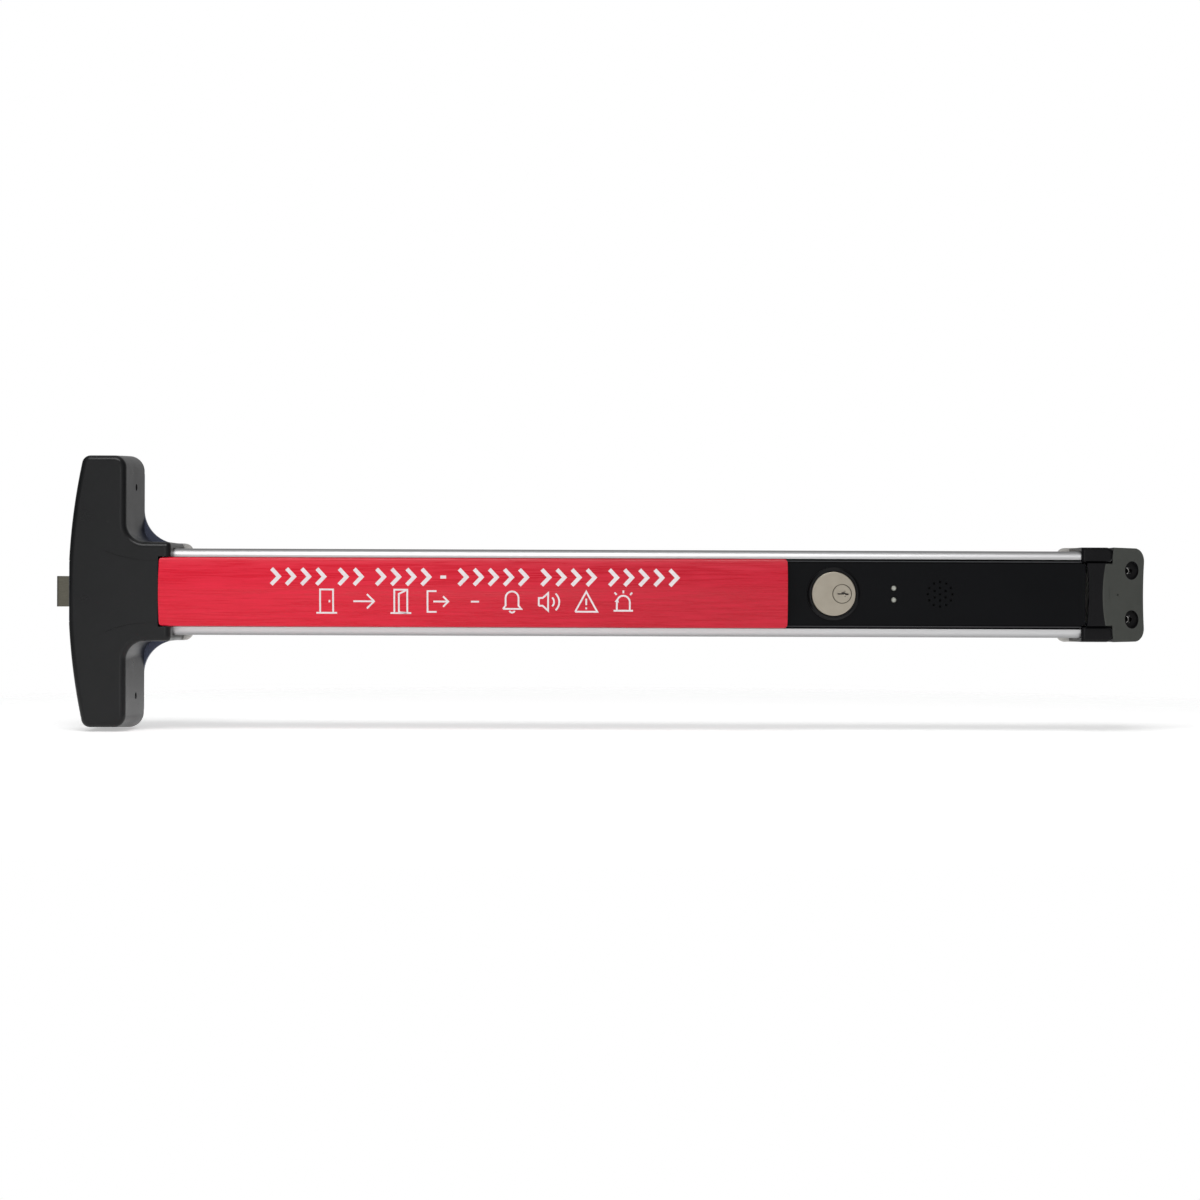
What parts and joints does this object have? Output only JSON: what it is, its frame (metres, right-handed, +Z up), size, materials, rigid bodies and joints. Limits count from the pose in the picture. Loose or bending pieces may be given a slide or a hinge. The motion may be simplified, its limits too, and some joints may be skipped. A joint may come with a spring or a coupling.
{
  "type": "panic exit bar",
  "caption": "Rim panic exit bar: latch head with a pivoting bolt, red push pad in an aluminium rail, alarm module with key lock, sloped end cap.",
  "frame": {"origin": "middle of the head's four bolt holes, on the face of the door", "axes": "+X along the bar from the latch head to the end cap, +Y into the door, +Z up"},
  "size_m": [0.8607, 0.0685, 0.2164],
  "materials": {
    "zinc_plate": "zinc-plated, slightly dull",
    "black_moulding": "fine-textured moulding",
    "black_alarm_plate": "smooth satin moulding",
    "black_collar": "semi-gloss",
    "screw_steel": "zinc-plated",
    "latch_steel": "satin stainless",
    "pin_steel": "ground",
    "spring_steel": "drawn wire",
    "inner_steel": "zinc-plated pressed steel",
    "satin_aluminium": "satin anodised extrusion",
    "red_pad": "red, brushed along its length",
    "bumper_rubber": "matt",
    "guide_plastic": "natural acetal",
    "board_green": "solder mask",
    "clear_lamp": "clear epoxy",
    "siren_black": "moulded",
    "speaker_cloth": "fine woven",
    "battery_case": "plain wrapped steel",
    "satin_nickel": "satin nickel plate",
    "plug_nickel": "satin nickel plate",
    "switch_black": "moulded",
    "plug_plastic": "moulded"
  },
  "bodies": {
    "fixed_frame": {"alarm_cover": "black_alarm_plate", "battery": "battery_case", "battery_connector": "bumper_rubber", "battery_tray": "guide_plastic", "board_screws": "screw_steel", "circuit_board": "board_green", "cover_screws": "screw_steel", "crank_bracket_left": "inner_steel", "crank_bracket_right": "inner_steel", "crank_bracket_screws": "screw_steel", "crank_pivot_left": "pin_steel", "crank_pivot_right": "pin_steel", "end_bracket": "zinc_plate", "end_cap": "black_moulding", "head_base": "zinc_plate", "head_cover": "black_moulding", "indicator_lamps": "clear_lamp", "key_switch": "switch_black", "latch_bracket": "zinc_plate", "latch_bracket_screws": "screw_steel", "latch_pin": "pin_steel", "latch_spring": "spring_steel", "lock_body": "satin_nickel", "lock_collar": "black_collar", "lock_nut": "inner_steel", "pad_switch": "switch_black", "rail": "satin_aluminium", "rail_screws": "screw_steel", "return_springs_left": "spring_steel", "return_springs_right": "spring_steel", "rod_guide": "guide_plastic", "rod_guide_screws": "screw_steel", "siren": "siren_black", "speaker_mesh": "speaker_cloth"},
    "push_pad": {"touch_bar": "red_pad", "pad_bracket_left": "inner_steel", "pad_bracket_right": "inner_steel", "pad_bracket_screws": "screw_steel", "pad_end_left": "plug_plastic", "pad_end_right": "plug_plastic", "pad_bumpers": "bumper_rubber"},
    "left_crank": {"crank_left": "inner_steel", "crank_pins_left": "pin_steel"},
    "right_crank": {"crank_right": "inner_steel", "crank_pins_right": "pin_steel"},
    "rod_assembly": {"pull_rod": "inner_steel", "latch_retractor": "inner_steel", "retractor_rivet": "pin_steel"},
    "latch": {"latch_bolt": "latch_steel", "latch_drive_pin": "pin_steel"},
    "key_plug": {"lock_plug": "plug_nickel", "lock_cam": "inner_steel", "cam_screws": "screw_steel"}
  },
  "joints": [
    {"name": "pad_press", "type": "slide", "parent": "fixed_frame", "child": "push_pad", "axis": [0, 1, 0], "range_m": [0, 0.014], "stiffness_N_per_m": 1500, "springref_m": -0.012, "deforming": ["return_springs_left", "return_springs_right"]},
    {"name": "left_crank_turn", "type": "hinge", "parent": "fixed_frame", "child": "left_crank", "pos_m": [0.16, -0.032, 0], "axis": [0, 0, -1], "range_deg": [0, 27]},
    {"name": "right_crank_turn", "type": "hinge", "parent": "fixed_frame", "child": "right_crank", "pos_m": [0.476, -0.032, 0], "axis": [0, 0, -1], "range_deg": [0, 27]},
    {"name": "rod_pull", "type": "slide", "parent": "fixed_frame", "child": "rod_assembly", "axis": [1, 0, 0], "range_m": [0, 0.00882]},
    {"name": "latch_retract", "type": "hinge", "parent": "fixed_frame", "child": "latch", "pos_m": [-0.017, -0.029, 0], "axis": [0, 0, -1], "range_deg": [0, 78.02]},
    {"name": "plug_turn", "type": "hinge", "parent": "fixed_frame", "child": "key_plug", "pos_m": [0.5748, -0.057, 0], "axis": [0, 1, 0], "range_deg": [0, 90]}
  ],
  "couplings": [
    {"joint": "left_crank_turn", "follows": "pad_press", "rad_per_m": 33.643},
    {"joint": "right_crank_turn", "follows": "pad_press", "rad_per_m": 33.643},
    {"joint": "rod_pull", "follows": "pad_press", "ratio": 0.62932},
    {"joint": "latch_retract", "follows": "pad_press", "rad_per_m": 97.24}
  ]
}
